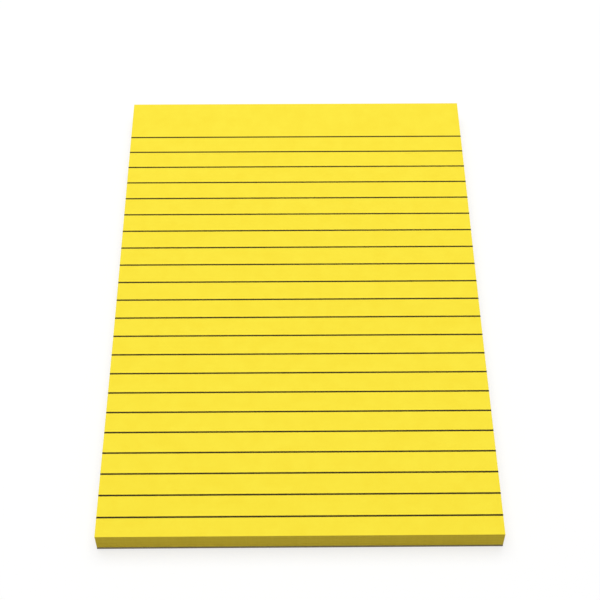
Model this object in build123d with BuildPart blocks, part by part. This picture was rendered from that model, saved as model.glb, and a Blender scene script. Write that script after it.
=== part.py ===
"""A pad of lined sticky notes, tall and narrow, lying flat on its backing sheet.

The notes are cut to one size in a guillotine and stuck to each other by a band of
weak glue along the head, so the pad is a solid brick there and a stack of loose
sheet edges round its other three sides. Black rules cross the top note from edge
to edge. A plain sheet of thin card closes the pad underneath.

X runs along the rules, +Y points to the glued head and +Z is up. The origin is the
centre of the underside. All sizes are in millimetres.
"""

from build123d import *

import os

# The notes
note_width = 101.6
note_length = 152.4
note_count = 50
paper_thickness = 0.092

# The glue: a band along the head of every note, which also parts the sheets a little
glue_thickness = 0.015
glue_band = 20.0

# The cut edges: the knife rounds each sheet a little, so a fine gap opens between two
edge_rounding = 0.012
edge_gap_depth = 0.05

# The sheet of card under the last note
backing_thickness = 0.8

# The printed rules, counted from the head down
head_margin = 14.6
least_foot_margin = 3.0
rule_pitch = 6.3
rule_width = 0.5
ink_thickness = 0.01

# What follows from those sizes
note_pitch = paper_thickness + glue_thickness
block_height = note_count * note_pitch - glue_thickness
block_floor = backing_thickness + glue_thickness
block_top = block_floor + block_height
head = note_length / 2
foot = -note_length / 2
side = note_width / 2
glue_line = head - glue_band
ruled_length = note_length - head_margin - least_foot_margin
rule_count = int(ruled_length / rule_pitch) + 1
rules_centre = head - head_margin - (rule_count - 1) * rule_pitch / 2


# The backing sheet has the outline of the notes.
with BuildPart() as backing_sheet:
    with BuildSketch():
        Rectangle(note_width, note_length)
    extrude(amount=backing_thickness)
backing_sheet.part.label = "backing_sheet"


# The last note's glue holds the backing sheet, over the width of the pad.
with BuildPart() as adhesive_strip:
    with BuildSketch(Plane.XY.offset(backing_thickness)):
        with Locations((0, head - glue_band / 2)):
            Rectangle(note_width, glue_band)
    extrude(amount=glue_thickness)
adhesive_strip.part.label = "adhesive_strip"


# The gap between the edges of two notes is a shallow V. It runs from the glue line
# down one side, across the foot and back up the other side, with mitred corners.
with BuildPart() as edge_gap:
    with BuildLine() as gap_route:
        Polyline((-side, glue_line), (-side, foot), (side, foot), (side, glue_line))
    start_plane = Plane(origin=(-side, glue_line, 0), x_dir=(1, 0, 0), z_dir=(0, -1, 0))
    with BuildSketch(start_plane):
        with BuildLine():
            half_mouth = glue_thickness / 2 + edge_rounding
            Polyline((0, -half_mouth), (edge_gap_depth, 0), (0, half_mouth), close=True)
        make_face()
    sweep(path=gap_route.line, transition=Transition.RIGHT)


# The notes are one brick, because the glue joins them all. The gaps mark where one
# note ends and the next begins, and stop where the glue fills them.
with BuildPart() as note_block:
    with BuildSketch(Plane.XY.offset(block_floor)):
        Rectangle(note_width, note_length)
    extrude(amount=block_height)
    first_gap = block_floor + paper_thickness + glue_thickness / 2
    gap_heights = [first_gap + gap * note_pitch for gap in range(note_count - 1)]
    with Locations([(0, 0, height) for height in gap_heights]):
        add(edge_gap.part, mode=Mode.SUBTRACT)
note_block.part.label = "note_block"


# The rules are a film of ink on the top note, printed past both edges and cut with it.
with BuildPart() as ruled_lines:
    with BuildSketch(Plane.XY.offset(block_top)):
        with Locations((0, rules_centre)):
            with GridLocations(0, rule_pitch, 1, rule_count):
                Rectangle(note_width, rule_width)
    extrude(amount=ink_thickness)
ruled_lines.part.label = "ruled_lines"


os.makedirs("parts", exist_ok=True)
for piece in (backing_sheet, adhesive_strip, note_block, ruled_lines):
    export_step(piece.part, f"parts/{piece.part.label}.step")
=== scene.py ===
# %% [markdown]
# # A pad of lined sticky notes
#
# The pad lies flat: fifty yellow notes, one on another, with black rules across the top one and a sheet
# of thin grey-brown card underneath. It was cut to size in one go, so its four sides are the edges of
# all its sheets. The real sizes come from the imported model, which is loaded first, and what is drawn
# here lies inside it.

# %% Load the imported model
from math import pi, radians

import bpy
from mathutils import Matrix, Vector


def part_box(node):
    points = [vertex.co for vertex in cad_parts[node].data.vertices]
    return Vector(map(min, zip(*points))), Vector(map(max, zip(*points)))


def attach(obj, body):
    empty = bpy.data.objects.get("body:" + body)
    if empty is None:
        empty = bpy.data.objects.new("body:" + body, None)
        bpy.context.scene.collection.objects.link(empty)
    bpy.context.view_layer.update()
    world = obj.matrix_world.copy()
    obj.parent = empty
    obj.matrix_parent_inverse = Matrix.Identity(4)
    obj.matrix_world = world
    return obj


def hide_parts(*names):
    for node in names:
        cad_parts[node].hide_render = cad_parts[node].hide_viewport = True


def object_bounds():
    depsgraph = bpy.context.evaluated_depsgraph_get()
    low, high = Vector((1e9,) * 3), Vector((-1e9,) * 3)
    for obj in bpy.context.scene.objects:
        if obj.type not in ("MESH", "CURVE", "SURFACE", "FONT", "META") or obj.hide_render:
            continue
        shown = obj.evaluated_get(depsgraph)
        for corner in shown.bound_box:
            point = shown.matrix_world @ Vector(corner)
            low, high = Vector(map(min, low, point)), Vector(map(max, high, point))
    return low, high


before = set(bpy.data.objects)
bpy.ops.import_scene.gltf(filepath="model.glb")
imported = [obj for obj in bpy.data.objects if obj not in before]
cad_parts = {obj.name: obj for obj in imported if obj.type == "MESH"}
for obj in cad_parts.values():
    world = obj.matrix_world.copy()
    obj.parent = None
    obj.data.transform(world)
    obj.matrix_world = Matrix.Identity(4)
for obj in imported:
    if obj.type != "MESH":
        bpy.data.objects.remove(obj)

MM = 0.001

cad_low, cad_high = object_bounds()
block_low, block_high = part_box("note_block")
head = block_high.y
foot = block_low.y
pad_width = block_high.x - block_low.x
pad_length = head - foot
pad_height = cad_high.z - cad_low.z
print(f"The pad: {pad_width / MM:.1f} by {pad_length / MM:.1f} mm, and {pad_height / MM:.2f} mm high")

# %% [markdown]
# ## The camera
#
# A camera is set by where it stands, where it points and how long its lens is. It could be turned by
# eye until the picture looks right. A photograph of a flat thing of known size gives all three more
# surely, because the far edge comes out shorter than the near one. These values put the corners of a pad
# of 101.6 by 152.4 mm within about a pixel of where the photograph has them, in an image of 600 by 600
# pixels.

# %% The camera
camera_place = Vector((-2.37, -241.60, 311.75)) * MM
look_down = radians(51.927)
turn_right = radians(0.715)
tilt = radians(0.253)
sensor_width_mm = 36.0
lens_mm = 83.28
nearest_seen = 10 * MM

camera_data = bpy.data.cameras.new("camera")
camera_data.sensor_fit = "HORIZONTAL"
camera_data.sensor_width = sensor_width_mm
camera_data.lens = lens_mm
camera_data.clip_start = nearest_seen
camera = bpy.data.objects.new("camera", camera_data)
camera.matrix_world = (
    Matrix.Translation(camera_place)
    @ Matrix.Rotation(-turn_right, 4, "Z")
    @ Matrix.Rotation(pi / 2 - look_down, 4, "X")
    @ Matrix.Rotation(tilt, 4, "Z")
)
bpy.context.scene.collection.objects.link(camera)
bpy.context.scene.camera = camera
print(f"The camera stands {camera_place.length / MM:.0f} mm from the middle of the pad's underside")

# %% [markdown]
# ## Helpers for node trees
#
# Materials and Geometry Nodes are both trees of nodes. One function adds a node to either. It sets the
# node's options, and then fills its inputs with plain values or with links from other nodes. Another
# turns a colour as it is picked on a screen into the linear numbers that light is added up in, by the
# curve of the sRGB standard. The last one starts a material with an empty tree.

# %% Add a node, read a colour and start a material
def add(tree, kind, inputs=None, **settings):
    """Adds a node. An input takes a value, another node's output, or a node for its first output."""
    node = tree.nodes.new(kind)
    for setting, value in settings.items():
        setattr(node, setting, value)
    for key, value in (inputs or {}).items():
        if isinstance(value, bpy.types.Node):
            value = next(socket for socket in value.outputs if socket.enabled)
        if isinstance(value, bpy.types.NodeSocket):
            tree.links.new(value, node.inputs[key])
        else:
            node.inputs[key].default_value = value
    return node


def linear(hex_colour):
    """The linear colour, with full alpha, of an sRGB colour such as "#ffe033"."""
    channels = [int(hex_colour[place:place + 2], 16) / 255 for place in (1, 3, 5)]
    return (*[c / 12.92 if c <= 0.04045 else ((c + 0.055) / 1.055) ** 2.4 for c in channels], 1.0)


def new_material(name):
    """A material whose tree is empty, and its tree."""
    material = bpy.data.materials.new(name)
    material.use_nodes = True
    material.node_tree.nodes.clear()
    return material, material.node_tree


print(f"A mid grey of #808080 is {linear('#808080')[0]:.3f} in linear light")

# %% [markdown]
# ## The paper
#
# Note paper is uncoated and dyed through, so it is matt and bright, and its colour doesn't change where
# it is cut. Close up it isn't even. Its fibres lie in soft clouds a few millimetres wide, which a
# papermaker calls the formation, and single fibres give the surface a fine tooth. A picture of paper
# could be laid over the page, but it blurs up close. Two noise patterns stay sharp, each with a scale
# worked out from a real size, and Object coordinates fix them to the sheet. The eye sees an even, chalky
# yellow that is faintly mottled when it comes close.

# %% Uncoated yellow note paper
formation_size = 4.0 * MM
# Real fibres are about 0.03 mm wide. They are drawn eight times as coarse, so that their tooth shows
fibre_size = 0.25 * MM
tooth_height = 0.006 * MM
# Most noise lies between these two values, so they are stretched to 0 and 1
noise_span = {"From Min": 0.3, "From Max": 0.7}

note_paper, tree = new_material("uncoated_note_paper_dyed_yellow")
place = add(tree, "ShaderNodeTexCoord").outputs["Object"]
formation = add(tree, "ShaderNodeTexNoise", {
    "Vector": place, "Scale": 1 / formation_size, "Detail": 2.0, "Roughness": 0.5})
fibres = add(tree, "ShaderNodeTexNoise", {
    "Vector": place, "Scale": 1 / fibre_size, "Detail": 3.0, "Roughness": 0.6})
cloud = add(tree, "ShaderNodeMapRange", {"Value": formation, **noise_span})
fleck = add(tree, "ShaderNodeMapRange", {"Value": fibres, **noise_span})
open_paper = add(tree, "ShaderNodeMix", {
    "Factor": cloud, "A": linear("#fbe534"), "B": linear("#fde93a")}, data_type="RGBA")
close_paper = add(tree, "ShaderNodeMix", {
    "Factor": cloud, "A": linear("#fae231"), "B": linear("#fce636")}, data_type="RGBA")
colour = add(tree, "ShaderNodeMix", {"Factor": fleck, "A": close_paper, "B": open_paper}, data_type="RGBA")
tooth = add(tree, "ShaderNodeBump", {"Distance": tooth_height, "Height": fibres})
shader = add(tree, "ShaderNodeBsdfPrincipled", {
    "Base Color": colour, "Roughness": 0.9, "IOR": 1.45, "Normal": tooth})
add(tree, "ShaderNodeOutputMaterial", {"Surface": shader})
print(f"{note_paper.name}: clouds of {formation_size / MM:.0f} mm, fibres of {fibre_size / MM:.2f} mm")

# %% [markdown]
# ## The cut edges
#
# A guillotine cuts the whole stack in one stroke. Its blade leaves fine upright scores that run through
# all the sheets. Sheets also sit a hair further in or out, singly and a few at a time, and each takes
# the light a little differently. The slips of the real sheets give some of that, and the material paints
# the rest as light and shade: level streaks and a tone for each sheet, stronger than the scores. Stripes
# on one block could stand for all of it, but here the sheets are real shapes, made further down. The
# material adds what they lack. Its yellow is darker and duller than the page's, as painted shade between
# the sheets, and the eye sees a dull yellow in fine layers.

# %% Scores and streaks
# Real scores are finer than a tenth of a millimetre. They are drawn wider, so that they show
score_width = 0.35 * MM
score_length = 12.0 * MM
streak_height = 0.7 * MM
streak_length = 60.0 * MM
# How much the tone of each sheet and the streaks, both painted light and shade, count for, beside the
# scores
tone_weight = 0.6
streak_weight = 2.0
# The sum of the three mostly lies between these two values
shade_span = {"From Min": 1.0, "From Max": 2.6}

cut_paper, tree = new_material("note_paper_cut_by_guillotine")
place = add(tree, "ShaderNodeTexCoord").outputs["Object"]
upright = add(tree, "ShaderNodeMapping", {"Vector": place, "Scale": (1, 1, score_width / score_length)})
scores = add(tree, "ShaderNodeTexNoise", {"Vector": upright, "Scale": 1 / score_width, "Detail": 2.0})
squeeze = streak_height / streak_length
level = add(tree, "ShaderNodeMapping", {"Vector": place, "Scale": (squeeze, squeeze, 1)})
streaks = add(tree, "ShaderNodeTexNoise", {
    "Vector": level, "Scale": 1 / streak_height, "Detail": 3.0, "Roughness": 0.6})
# The tone of each sheet and the streaks are painted light and shade, for sheets that sit further in or out
tone = add(tree, "ShaderNodeAttribute", attribute_name="sheet_tone").outputs["Fac"]
fine = add(tree, "ShaderNodeMath", {0: tone, 1: tone_weight, 2: scores}, operation="MULTIPLY_ADD")
total = add(tree, "ShaderNodeMath", {0: streaks, 1: streak_weight, 2: fine}, operation="MULTIPLY_ADD")
shade = add(tree, "ShaderNodeMapRange", {"Value": total, **shade_span})
# Both edge colours are, on the whole, darker and duller than the page's: painted shade between the sheets
edge = add(tree, "ShaderNodeMix", {
    "Factor": shade, "A": linear("#ecd034"), "B": linear("#fde448")}, data_type="RGBA")
print(f"{cut_paper.name}: scores {score_width / MM:.2f} mm wide, streaks {streak_height / MM:.1f} mm high")

# %% [markdown]
# ## The ends of the rules
#
# The rules are printed past the sides and cut with the paper, so the end of each shows there as a short
# dark dash under the rim of its sheet, not quite in line from sheet to sheet. Each could be a small
# shape, but that takes a thousand of them at each side, so the material draws them. It finds the
# nearest rule from the distance along the pad, and the rim from a height kept in the mesh.

# %% Where the rules are
rule_count = 22
rule_width = 0.5 * MM
rules_low, rules_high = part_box("ruled_lines")
first_rule = rules_high.y - rule_width / 2
rule_pitch = (rules_high.y - rules_low.y - rule_width) / (rule_count - 1)
bare_head = head - first_rule
print(f"{rule_count} rules, {rule_pitch / MM:.2f} mm apart, below {bare_head / MM:.1f} mm of bare head")

# %% How near a point is to a rule
ink_blur = 0.04 * MM
ink_cover = 0.8
register_error = 0.5 * MM

along = add(tree, "ShaderNodeSeparateXYZ", {"Vector": place}).outputs["Y"]
shifted = add(tree, "ShaderNodeMath", {
    0: tone, 1: register_error, 2: first_rule - register_error / 2}, operation="MULTIPLY_ADD")
down = add(tree, "ShaderNodeMath", {0: shifted, 1: along}, operation="SUBTRACT")
pitches = add(tree, "ShaderNodeMath", {0: down, 1: rule_pitch}, operation="DIVIDE")
nearest = add(tree, "ShaderNodeMath", {0: pitches}, operation="ROUND")
real_rule = add(tree, "ShaderNodeClamp", {"Value": nearest, "Min": 0, "Max": rule_count - 1})
miss = add(tree, "ShaderNodeMath", {0: pitches, 1: real_rule}, operation="SUBTRACT")
miss_size = add(tree, "ShaderNodeMath", {0: miss}, operation="ABSOLUTE")
dash = add(tree, "ShaderNodeMapRange", {
    "Value": miss_size, "From Min": (rule_width / 2 - ink_blur) / rule_pitch,
    "From Max": (rule_width / 2 + ink_blur) / rule_pitch, "To Min": ink_cover, "To Max": 0.0})
print(f"A dash lies up to {register_error / 2 / MM:.2f} mm from its place")

# %% Guillotined edges of the note paper
score_depth = 0.004 * MM
# The share of the sheet's height where the ink under the rim begins, and where it is full
rim_span = {"From Min": 0.7, "From Max": 0.85}

rise = add(tree, "ShaderNodeAttribute", attribute_name="height_in_sheet").outputs["Fac"]
under_rim = add(tree, "ShaderNodeMapRange", {"Value": rise, **rim_span})
facing = add(tree, "ShaderNodeNewGeometry").outputs["True Normal"]
sideways = add(tree, "ShaderNodeSeparateXYZ", {"Vector": facing}).outputs["X"]
on_side = add(tree, "ShaderNodeMath", {0: sideways}, operation="ABSOLUTE")
side_rim = add(tree, "ShaderNodeMath", {0: on_side, 1: under_rim}, operation="MULTIPLY")
ink_share = add(tree, "ShaderNodeMath", {0: dash, 1: side_rim}, operation="MULTIPLY")
# The edge colour under the ink carries painted shade; the dashes themselves are print
inked_edge_painted_shade = add(tree, "ShaderNodeMix", {
    "Factor": ink_share, "A": edge, "B": linear("#1d190b")}, data_type="RGBA")
scored = add(tree, "ShaderNodeBump", {"Distance": score_depth, "Height": scores})
shader = add(tree, "ShaderNodeBsdfPrincipled", {
    "Base Color": inked_edge_painted_shade, "Roughness": 0.95, "IOR": 1.45, "Normal": scored})
add(tree, "ShaderNodeOutputMaterial", {"Surface": shader})
print(f"{cut_paper.name} has {len(tree.nodes)} nodes")

# %% [markdown]
# ## The ink
#
# The rules are printed by offset: a rubber roller presses a thin film of black ink onto the paper. The
# ink sinks between the fibres, so it is as matt as the paper, and the yellow shows through wherever the
# film is thin. A single black would look like tape laid on the page, so noise mixes black with the olive
# of the thin spots. Seen from a step away, that turns a fine rule to a deep olive brown.

# %% Black offset ink
# Real pinholes are a few hundredths of a millimetre wide. They are drawn coarser, so that they show
pinhole_size = 0.12 * MM
# The film is full where the noise is under the first value, and thinnest where it is over the second
thin_span = {"From Min": 0.4, "From Max": 0.75}

rule_ink, tree = new_material("black_offset_ink_on_paper")
place = add(tree, "ShaderNodeTexCoord").outputs["Object"]
film = add(tree, "ShaderNodeTexNoise", {"Vector": place, "Scale": 1 / pinhole_size, "Detail": 3.0})
thin = add(tree, "ShaderNodeMapRange", {"Value": film, **thin_span})
colour = add(tree, "ShaderNodeMix", {
    "Factor": thin, "A": linear("#151106"), "B": linear("#54470a")}, data_type="RGBA")
shader = add(tree, "ShaderNodeBsdfPrincipled", {
    "Base Color": colour, "Roughness": 0.85, "IOR": 1.45, "Specular IOR Level": 0.25})
add(tree, "ShaderNodeOutputMaterial", {"Surface": shader})
print(f"{rule_ink.name}: thin spots of {pinhole_size / MM:.2f} mm")

# %% [markdown]
# ## The glue
#
# The glue is a thin film of tiny acrylic beads, which stick a little and let go again. It could be a
# clear material, but between two sheets of paper that takes longer to render and looks the same. Dried,
# it is a dull, milky film, grainy where the beads catch the light.

# %% Film of acrylic beads
bead_size = 0.05 * MM
bead_height = 0.1 * bead_size

note_glue, tree = new_material("acrylic_bead_glue_dried")
place = add(tree, "ShaderNodeTexCoord").outputs["Object"]
beads = add(tree, "ShaderNodeTexNoise", {"Vector": place, "Scale": 1 / bead_size, "Detail": 1.0})
colour = add(tree, "ShaderNodeMix", {
    "Factor": beads, "A": linear("#e2dbc0"), "B": linear("#efe9d4")}, data_type="RGBA")
grain = add(tree, "ShaderNodeBump", {"Distance": bead_height, "Height": beads})
shader = add(tree, "ShaderNodeBsdfPrincipled", {
    "Base Color": colour, "Roughness": 0.5, "IOR": 1.47, "Normal": grain})
add(tree, "ShaderNodeOutputMaterial", {"Surface": shader})
print(f"{note_glue.name}: beads of {bead_size / MM:.2f} mm")

# %% [markdown]
# ## The card
#
# The sheet underneath is card pressed from waste paper. It is a dull grey brown, because old print is
# still in it, and dark and pale fibres of many papers show as specks. One even colour would look like
# plastic. Here fine noise picks between a dark and a pale tone, and clouds a few millimetres wide shift
# both of them.

# %% Grey-brown card
speck_size = 0.35 * MM
card_cloud_size = 6.0 * MM
card_tooth = 0.01 * MM
# The card is darkest where the noise is under the first value, and palest where it is over the second
speck_span = {"From Min": 0.35, "From Max": 0.7}

grey_card, tree = new_material("card_pressed_from_waste_paper")
place = add(tree, "ShaderNodeTexCoord").outputs["Object"]
specks = add(tree, "ShaderNodeTexNoise", {
    "Vector": place, "Scale": 1 / speck_size, "Detail": 4.0, "Roughness": 0.65})
clouds = add(tree, "ShaderNodeTexNoise", {"Vector": place, "Scale": 1 / card_cloud_size, "Detail": 2.0})
speck = add(tree, "ShaderNodeMapRange", {"Value": specks, **speck_span})
dark = add(tree, "ShaderNodeMix", {
    "Factor": clouds, "A": linear("#8c8062"), "B": linear("#978b6c")}, data_type="RGBA")
pale = add(tree, "ShaderNodeMix", {
    "Factor": clouds, "A": linear("#a79a78"), "B": linear("#b3a684")}, data_type="RGBA")
colour = add(tree, "ShaderNodeMix", {"Factor": speck, "A": dark, "B": pale}, data_type="RGBA")
rough = add(tree, "ShaderNodeBump", {"Distance": card_tooth, "Height": specks})
shader = add(tree, "ShaderNodeBsdfPrincipled", {
    "Base Color": colour, "Roughness": 0.88, "IOR": 1.45, "Normal": rough})
add(tree, "ShaderNodeOutputMaterial", {"Surface": shader})
print(f"{grey_card.name}: specks of {speck_size / MM:.2f} mm")

# %% [markdown]
# ## How the stack lies
#
# Glue holds the notes a hair apart at the head, and at the foot their cut ends spring apart by as much.
# In between they settle, so the top of the pad dips by less than a millimetre. In the photograph it
# shows in the rules, which aren't spaced quite as on a flat board. Real notes would close the gaps
# between them, but faces that lie in one place flicker in a render. So a small group of nodes lowers
# each point in proportion to its height above the underside of the lowest note. That draws the sheets
# up to 14 percent thinner in the dip and leaves the gaps open. The notes, the glue and the rules all go
# through the group, so they stay together, and what lies under the lowest note stays flat.

# %% Thicknesses in the stack
glue_low, glue_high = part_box("adhesive_strip")
glue_line = glue_low.y
glue_thickness = glue_high.z - glue_low.z
note_count = 50
block_height = block_high.z - block_low.z
note_pitch = (block_height + glue_thickness) / note_count
note_thickness = note_pitch - glue_thickness
dip_depth = (note_count - 1) * glue_thickness
print(f"Notes {note_thickness / MM:.3f} mm thick, one every {note_pitch / MM:.3f} mm")

# %% The dip, as a group of geometry nodes
def new_tree(name, sockets):
    """A geometry node tree with these inputs, as (name, kind), and one output."""
    tree = bpy.data.node_groups.new(name, "GeometryNodeTree")
    for label, kind in sockets:
        tree.interface.new_socket(label, in_out="INPUT", socket_type=f"NodeSocket{kind}")
    tree.interface.new_socket("Geometry", in_out="OUTPUT", socket_type="NodeSocketGeometry")
    return tree


dip = new_tree("settle_between_glue_and_foot", [("Geometry", "Geometry")])
given = add(dip, "NodeGroupInput")
axes = add(dip, "ShaderNodeSeparateXYZ", {"Vector": add(dip, "GeometryNodeInputPosition")}).outputs
from_glue = add(dip, "ShaderNodeMath", {0: glue_line, 1: axes["Y"]}, operation="SUBTRACT")
halves = add(dip, "ShaderNodeMath", {0: from_glue, 1: (glue_line - foot) / 2}, operation="DIVIDE")
past_middle = add(dip, "ShaderNodeMath", {0: halves, 1: 1.0}, operation="SUBTRACT")
from_middle = add(dip, "ShaderNodeMath", {0: past_middle}, operation="ABSOLUTE")
share = add(dip, "ShaderNodeMapRange", {
    "Value": from_middle, "From Min": 0.0, "From Max": 1.0, "To Min": -dip_depth / block_height,
    "To Max": 0.0}, interpolation_type="SMOOTHSTEP")
# Clamped, so that the height isn't negative under the notes and the card isn't pushed up
height = add(dip, "ShaderNodeMath", {0: axes["Z"], 1: block_low.z}, operation="SUBTRACT", use_clamp=True)
drop = add(dip, "ShaderNodeMath", {0: height, 1: share}, operation="MULTIPLY")
shift = add(dip, "ShaderNodeCombineXYZ", {"Z": drop})
lowered = add(dip, "GeometryNodeSetPosition", {"Geometry": given, "Offset": shift})
add(dip, "NodeGroupOutput", {"Geometry": lowered})
print(f"The top note dips {dip_depth / MM:.2f} mm in the middle")

# %% [markdown]
# ## One sheet
#
# One tree of nodes makes any of the stacks: fifty notes, fifty films of glue or one sheet of card. A
# block with lines drawn on its sides would do from afar, but real sheets catch the light one by one.
# The tree starts with a box that has rows of points along it, so that it can bend, and four layers of
# points. The outer two layers are its faces, and their rims are pulled in where the blade rounded them.
# The height of each point, from 0 to 1, goes to the material with the mesh.

# %% A flat sheet
points_across = 5
point_layers = 4

stack = new_tree("stack_of_sheets", [
    ("Width", "Float"), ("Length", "Float"), ("Thickness", "Float"), ("Edge Rounding", "Float"),
    ("Rows Along", "Int"), ("Count", "Int"), ("Pitch", "Float"), ("Lowest", "Float"), ("Head", "Float"),
    ("Slip", "Float"), ("Turn", "Float"), ("Seed", "Int"), ("Face Material", "Material"),
    ("Edge Material", "Material"),
])
wanted = add(stack, "NodeGroupInput").outputs
size = add(stack, "ShaderNodeCombineXYZ", {
    "X": wanted["Width"], "Y": wanted["Length"], "Z": wanted["Thickness"]})
box = add(stack, "GeometryNodeMeshCube", {
    "Size": size, "Vertices X": points_across, "Vertices Y": wanted["Rows Along"],
    "Vertices Z": point_layers})
print(f"A sheet has {points_across} points across and {point_layers} layers of them")

# %% Rounded by the blade
# A point further than this from the middle, as a share of the thickness, lies in an outer layer
outer_layer = 0.4

position = add(stack, "GeometryNodeInputPosition")
axes = add(stack, "ShaderNodeSeparateXYZ", {"Vector": position}).outputs
from_core = add(stack, "ShaderNodeMath", {0: axes["Z"]}, operation="ABSOLUTE")
near_face = add(stack, "ShaderNodeMath", {0: wanted["Thickness"], 1: outer_layer}, operation="MULTIPLY")
on_face = add(stack, "ShaderNodeMath", {0: from_core, 1: near_face}, operation="GREATER_THAN")
half_size = add(stack, "ShaderNodeVectorMath", {0: size, 1: (0.5, 0.5, 0.5)}, operation="MULTIPLY")
pull = add(stack, "ShaderNodeCombineXYZ", {"X": wanted["Edge Rounding"], "Y": wanted["Edge Rounding"]})
rim = add(stack, "ShaderNodeVectorMath", {0: half_size, 1: pull}, operation="SUBTRACT")
other_rim = add(stack, "ShaderNodeVectorMath", {0: rim, "Scale": -1.0}, operation="SCALE")
within = add(stack, "ShaderNodeVectorMath", {0: position, 1: rim}, operation="MINIMUM")
pulled_in = add(stack, "ShaderNodeVectorMath", {0: within, 1: other_rim}, operation="MAXIMUM")
cut = add(stack, "GeometryNodeSetPosition", {"Geometry": box, "Selection": on_face, "Position": pulled_in})
thicknesses = add(stack, "ShaderNodeMath", {0: axes["Z"], 1: wanted["Thickness"]}, operation="DIVIDE")
rise = add(stack, "ShaderNodeMath", {0: thicknesses, 1: 0.5}, operation="ADD")
sheet = add(stack, "GeometryNodeStoreNamedAttribute", {
    "Geometry": cut, "Name": "height_in_sheet", "Value": rise}, data_type="FLOAT", domain="POINT")
print(f"{len(stack.nodes)} nodes make one sheet")

# %% [markdown]
# ## Sheets in a stack
#
# A line of points repeats the sheet upwards. Fifty copies could be placed by a loop in the script, but
# as one tree they share one set of sizes. Each copy then slips by a hair across and along the pad and
# turns a little about the middle of its head, as handled notes do. The cube of a random number keeps
# most slips tiny and a few larger. Another random number, from 0 to 1, goes to the material as the tone
# of the sheet.

# %% Copies of the sheet, one on another
half_length = add(stack, "ShaderNodeMath", {0: wanted["Length"], 1: 0.5}, operation="MULTIPLY")
centre = add(stack, "ShaderNodeMath", {0: wanted["Head"], 1: half_length}, operation="SUBTRACT")
half_thickness = add(stack, "ShaderNodeMath", {0: wanted["Thickness"], 1: 0.5}, operation="MULTIPLY")
seat = add(stack, "ShaderNodeCombineXYZ", {"Y": centre, "Z": half_thickness})
seated = add(stack, "GeometryNodeTransform", {"Geometry": sheet, "Translation": seat})
start = add(stack, "ShaderNodeCombineXYZ", {"Z": wanted["Lowest"]})
step = add(stack, "ShaderNodeCombineXYZ", {"Z": wanted["Pitch"]})
levels = add(stack, "GeometryNodeMeshLine", {
    "Count": wanted["Count"], "Start Location": start, "Offset": step})
copies = add(stack, "GeometryNodeInstanceOnPoints", {"Points": levels, "Instance": seated})
print(f"{len(stack.nodes)} nodes make a square stack")

# %% Slips, turns and tones
chance = add(stack, "FunctionNodeRandomValue", {
    "Min": (-1, -1, -1), "Max": (1, 1, 1), "Seed": wanted["Seed"]}, data_type="FLOAT_VECTOR")
squared = add(stack, "ShaderNodeVectorMath", {0: chance, 1: chance}, operation="MULTIPLY")
mostly_small = add(stack, "ShaderNodeVectorMath", {0: squared, 1: chance}, operation="MULTIPLY")
most = add(stack, "ShaderNodeCombineXYZ", {"X": wanted["Slip"], "Y": wanted["Slip"]})
slip = add(stack, "ShaderNodeVectorMath", {0: mostly_small, 1: most}, operation="MULTIPLY")
slipped = add(stack, "GeometryNodeTranslateInstances", {"Instances": copies, "Translation": slip})
turn_axis = add(stack, "ShaderNodeCombineXYZ", {"Z": wanted["Turn"]})
turn = add(stack, "ShaderNodeVectorMath", {0: mostly_small, 1: turn_axis}, operation="MULTIPLY")
pivot = add(stack, "ShaderNodeCombineXYZ", {"Y": wanted["Head"]})
turned = add(stack, "GeometryNodeRotateInstances", {
    "Instances": slipped, "Rotation": turn, "Pivot Point": pivot, "Local Space": False})
# The tone paints the light and shade of each sheet's cut edge, and shifts the ends of its rules
tone_seed = add(stack, "ShaderNodeMath", {0: wanted["Seed"], 1: 1.0}, operation="ADD")
tone = add(stack, "FunctionNodeRandomValue", {"Seed": tone_seed}, data_type="FLOAT")
toned = add(stack, "GeometryNodeStoreNamedAttribute", {
    "Geometry": turned, "Name": "sheet_tone", "Value": tone}, data_type="FLOAT", domain="INSTANCE")
print(f"{len(stack.nodes)} nodes make a handled stack")

# %% Real geometry, the dip and the materials
# A face belongs to the cut edge where the upright part of its normal is less than this
flat_enough = 0.7

real = add(stack, "GeometryNodeRealizeInstances", {"Geometry": toned})
settled = add(stack, "GeometryNodeGroup", {"Geometry": real}, node_tree=dip)
normal = add(stack, "ShaderNodeSeparateXYZ", {"Vector": add(stack, "GeometryNodeInputNormal")}).outputs
upward = add(stack, "ShaderNodeMath", {0: normal["Z"]}, operation="ABSOLUTE")
is_edge = add(stack, "ShaderNodeMath", {0: upward, 1: flat_enough}, operation="LESS_THAN")
faces = add(stack, "GeometryNodeSetMaterial", {"Geometry": settled, "Material": wanted["Face Material"]})
edges = add(stack, "GeometryNodeSetMaterial", {
    "Geometry": faces, "Selection": is_edge, "Material": wanted["Edge Material"]})
add(stack, "NodeGroupOutput", {"Geometry": edges})
print(f"{stack.name} has {len(stack.nodes)} nodes")

# %% [markdown]
# ## From a tree to a mesh
#
# A modifier runs the tree. Its inputs are set by the identifier that Blender gives each socket, because
# two sockets may share a name. The modifier could stay, but a plain mesh is surer: nothing is worked out
# again later. So the result is copied out and the modifier goes. The faces are shaded smooth along the
# dip and sharp at the cut.

# %% Grow a mesh from a tree
sharp_angle = radians(30)


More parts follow.
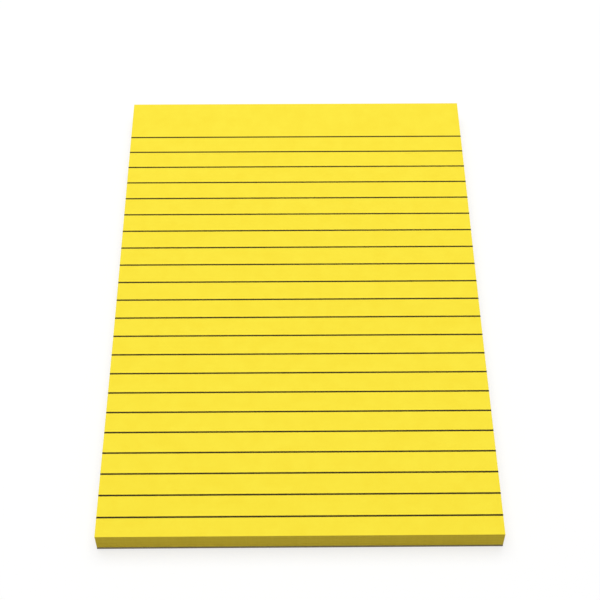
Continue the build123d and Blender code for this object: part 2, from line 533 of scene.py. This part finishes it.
def grow(name, tree, values):
    """An object in the scene with the mesh that the tree makes from these values."""
    start = bpy.data.meshes.new(f"{name}_start")
    piece = bpy.data.objects.new(name, start)
    bpy.context.scene.collection.objects.link(piece)
    modifier = piece.modifiers.new("grow", "NODES")
    modifier.node_group = tree
    for socket in tree.interface.items_tree:
        if socket.name in values:
            modifier[socket.identifier] = values[socket.name]
    evaluated = piece.evaluated_get(bpy.context.evaluated_depsgraph_get())
    mesh = bpy.data.meshes.new_from_object(evaluated)
    piece.modifiers.remove(modifier)
    piece.data = mesh
    bpy.data.meshes.remove(start)
    mesh.name = name
    mesh.shade_smooth()
    mesh.set_sharp_from_angle(angle=sharp_angle)
    print(f"{name}: {len(mesh.polygons)} faces, {len(mesh.materials)} materials")
    return piece


# %% [markdown]
# ## The notes
#
# Fifty notes from that tree. They are drawn a little smaller than the model, so that they have room to
# slip and still lie inside it. Rows of points 2.5 mm apart bend them smoothly into the dip.

# %% The fifty notes
most_slip = 0.025 * MM
most_turn = radians(0.012)
room = 0.05 * MM
rounding = 0.012 * MM
note_rows = 61

notes = grow("notes", stack, {
    "Width": pad_width - 2 * room, "Length": pad_length - 2 * room, "Thickness": note_thickness,
    "Edge Rounding": rounding, "Rows Along": note_rows, "Count": note_count, "Pitch": note_pitch,
    "Lowest": block_low.z, "Head": head - room, "Slip": most_slip, "Turn": most_turn, "Seed": 7,
    "Face Material": note_paper, "Edge Material": cut_paper,
})
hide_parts("note_block")
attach(notes, "root")

# %% [markdown]
# ## The glue between the notes
#
# Each note carries a band of glue on its underside, along the head. The last note's band holds the card.
# The bands could be left out, since nobody sees between the notes, but the gaps at the head would then
# be empty where the real pad is solid. The films are the same stack again, with sheets as thin as the
# gap between two notes and as long as the band is wide. They stop half a millimetre short of the cut,
# so that no glue fouls the blade.

# %% The films of glue
glue_setback = 0.5 * MM
film_rows = 4

glue_films = grow("glue_films", stack, {
    "Width": pad_width - 2 * glue_setback, "Length": head - glue_line - glue_setback,
    "Thickness": glue_thickness, "Edge Rounding": 0.0, "Rows Along": film_rows, "Count": note_count,
    "Pitch": note_pitch, "Lowest": glue_low.z, "Head": head - glue_setback, "Slip": 0.0, "Turn": 0.0,
    "Seed": 1, "Face Material": note_glue, "Edge Material": note_glue,
})
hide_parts("adhesive_strip")
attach(glue_films, "root")

# %% [markdown]
# ## The sheet of card
#
# One sheet from the same tree, about nine times as thick as a note. A plain box would have the same
# outline, but its edges would be as sharp as glass, and the blade rounds soft card more than it does
# paper. The sheet lies flat, because the dip starts above it.

# %% The sheet of card
card_rounding = 0.04 * MM
card_rows = 3
card_low, card_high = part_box("backing_sheet")

card = grow("card", stack, {
    "Width": pad_width - room, "Length": pad_length - room, "Thickness": card_high.z - card_low.z,
    "Edge Rounding": card_rounding, "Rows Along": card_rows, "Count": 1, "Pitch": 0.0,
    "Lowest": card_low.z, "Head": head - room / 2, "Slip": 0.0, "Turn": 0.0, "Seed": 1,
    "Face Material": grey_card, "Edge Material": grey_card,
})
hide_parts("backing_sheet")
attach(card, "root")

# %% [markdown]
# ## The rules
#
# Twenty-two bars of ink, one below another down the page. Dark lines in the paper's material would look
# the same from above, but as bars the rules are a piece of their own that can take another colour. A
# line of points repeats one bar, and the dip sets them all on the top note. Each bar reaches as far into
# the paper as it stands out of it, as ink does, so no light passes under it.

# %% The rules, as a tree of geometry nodes
ruling = new_tree("rules_down_a_page", [
    ("Width", "Float"), ("Rule Width", "Float"), ("Ink Height", "Float"), ("Count", "Int"),
    ("Pitch", "Float"), ("First Rule", "Float"), ("Page Height", "Float"), ("Ink", "Material"),
])
wanted = add(ruling, "NodeGroupInput").outputs
depth = add(ruling, "ShaderNodeMath", {0: wanted["Ink Height"], 1: 2.0}, operation="MULTIPLY")
size = add(ruling, "ShaderNodeCombineXYZ", {"X": wanted["Width"], "Y": wanted["Rule Width"], "Z": depth})
bar = add(ruling, "GeometryNodeMeshCube", {
    "Size": size, "Vertices X": points_across, "Vertices Y": 2, "Vertices Z": 2})
start = add(ruling, "ShaderNodeCombineXYZ", {"Y": wanted["First Rule"], "Z": wanted["Page Height"]})
down = add(ruling, "ShaderNodeMath", {0: wanted["Pitch"], 1: -1.0}, operation="MULTIPLY")
step = add(ruling, "ShaderNodeCombineXYZ", {"Y": down})
places = add(ruling, "GeometryNodeMeshLine", {
    "Count": wanted["Count"], "Start Location": start, "Offset": step})
bars = add(ruling, "GeometryNodeInstanceOnPoints", {"Points": places, "Instance": bar})
real = add(ruling, "GeometryNodeRealizeInstances", {"Geometry": bars})
settled = add(ruling, "GeometryNodeGroup", {"Geometry": real}, node_tree=dip)
inked = add(ruling, "GeometryNodeSetMaterial", {"Geometry": settled, "Material": wanted["Ink"]})
add(ruling, "NodeGroupOutput", {"Geometry": inked})
print(f"{ruling.name} has {len(ruling.nodes)} nodes")

# %% The rules
rules = grow("rules", ruling, {
    "Width": pad_width - 2 * room - 2 * rounding, "Rule Width": rule_width,
    "Ink Height": rules_high.z - block_high.z, "Count": rule_count, "Pitch": rule_pitch,
    "First Rule": first_rule, "Page Height": block_high.z, "Ink": rule_ink,
})
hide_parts("ruled_lines")
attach(rules, "root")

# %% [markdown]
# ## The floor
#
# The photograph has a pure white background. A floor lit until it is white would throw so much light
# back that the yellow would wash out. Here the camera meets a floor that glows a little and still takes
# the pad's shadow, while every other ray meets plain pale paper. Further out the floor fades to even
# white, so that a low camera sees no horizon. It is clear from below, and has a hole that the pad
# hides, so that a camera under it sees the card in the light of the room.

# %% What the camera sees, straight or through metal and glass
def seen_by_camera(tree):
    """A node whose value is 1 for rays from the camera, mirrored and refracted rays included."""
    ray = add(tree, "ShaderNodeLightPath").outputs
    mirrored = add(tree, "ShaderNodeMath", {
        0: ray["Is Glossy Ray"], 1: ray["Is Transmission Ray"]}, operation="MAXIMUM")
    return add(tree, "ShaderNodeMath", {0: ray["Is Camera Ray"], 1: mirrored}, operation="MAXIMUM")


floor_paper, tree = new_material("pale_studio_paper")
seen = seen_by_camera(tree)
print(f"{len(tree.nodes)} nodes tell the camera's rays from the rest")

# %% Pale studio paper
floor_glow = 0.68
# How far from the middle of the pad, in metres, the floor starts to fade, and where it is white
fade_span = {"From Min": 0.2, "From Max": 0.6}

plain = add(tree, "ShaderNodeBsdfDiffuse", {"Color": linear("#cfcfcf")})
shaded = add(tree, "ShaderNodeBsdfDiffuse", {"Color": linear("#9c9c9c")})
glow = add(tree, "ShaderNodeEmission", {"Strength": floor_glow})
near = add(tree, "ShaderNodeAddShader", {0: shaded, 1: glow})
white = add(tree, "ShaderNodeEmission", {"Strength": 1.0})
place = add(tree, "ShaderNodeTexCoord").outputs["Object"]
away = add(tree, "ShaderNodeVectorMath", {0: place}, operation="LENGTH").outputs["Value"]
fade = add(tree, "ShaderNodeMapRange", {"Value": away, **fade_span}, interpolation_type="SMOOTHSTEP")
shown = add(tree, "ShaderNodeMixShader", {0: fade, 1: near, 2: white})
chosen = add(tree, "ShaderNodeMixShader", {0: seen, 1: plain, 2: shown})
below = add(tree, "ShaderNodeNewGeometry").outputs["Backfacing"]
clear = add(tree, "ShaderNodeBsdfTransparent")
surface = add(tree, "ShaderNodeMixShader", {0: below, 1: chosen, 2: clear})
add(tree, "ShaderNodeOutputMaterial", {"Surface": surface})
print(f"{floor_paper.name} has {len(tree.nodes)} nodes")

# %% The floor, with its hole
reach = 3.0
overlap = 0.3 * MM
hole_x = pad_width / 2 - overlap
hole_y = pad_length / 2 - overlap
corners = [(-reach, -reach), (reach, -reach), (reach, reach), (-reach, reach)]
corners += [(-hole_x, -hole_y), (hole_x, -hole_y), (hole_x, hole_y), (-hole_x, hole_y)]
around = [(0, 1, 5, 4), (1, 2, 6, 5), (2, 3, 7, 6), (3, 0, 4, 7)]

floor_mesh = bpy.data.meshes.new("floor")
floor_mesh.from_pydata([(x, y, 0.0) for x, y in corners], [], around)
floor_mesh.materials.append(floor_paper)
floor = bpy.data.objects.new("floor", floor_mesh)
bpy.context.scene.collection.objects.link(floor)
print(f"The floor is {2 * reach:.0f} m square, and reaches {overlap / MM:.1f} mm under the pad")

# %% [markdown]
# ## The light
#
# One large soft lamp hangs over the pad and a little behind it. A small lamp would light it as well, but
# with a hard shadow that the photograph doesn't have. The page gets its light nearly square on, and the
# front edge gets little but what the floor and the room send back, so it is in shade. The room is a dim
# even white, but the camera sees it as pure white.

# %% The lamp
lamp_place = Vector((-0.05, 0.30, 1.40))
lamp_size = 1.5
lamp_power = 21.2

lamp_data = bpy.data.lights.new("overhead_lamp", "AREA")
lamp_data.shape = "SQUARE"
lamp_data.size = lamp_size
lamp_data.energy = lamp_power
lamp = bpy.data.objects.new("overhead_lamp", lamp_data)
towards_pad = lamp_place.to_track_quat("Z", "Y").to_matrix().to_4x4()
lamp.matrix_world = Matrix.Translation(lamp_place) @ towards_pad
bpy.context.scene.collection.objects.link(lamp)
print(f"A lamp of {lamp_power:.0f} W, {lamp_size} m square, {lamp_place.length:.1f} m away")

# %% The room
room_light = 0.24

world = bpy.data.worlds.new("white_room")
world.use_nodes = True
tree = world.node_tree
tree.nodes.clear()
seen = seen_by_camera(tree)
dim = add(tree, "ShaderNodeBackground", {"Color": (1, 1, 1, 1), "Strength": room_light})
white = add(tree, "ShaderNodeBackground", {"Color": (1, 1, 1, 1), "Strength": 1.0})
walls = add(tree, "ShaderNodeMixShader", {0: seen, 1: dim, 2: white})
add(tree, "ShaderNodeOutputWorld", {"Surface": walls})
bpy.context.scene.world = world
bpy.context.scene.view_settings.view_transform = "Standard"
print(f"The room sends {room_light:.2f} of the light of a white wall")
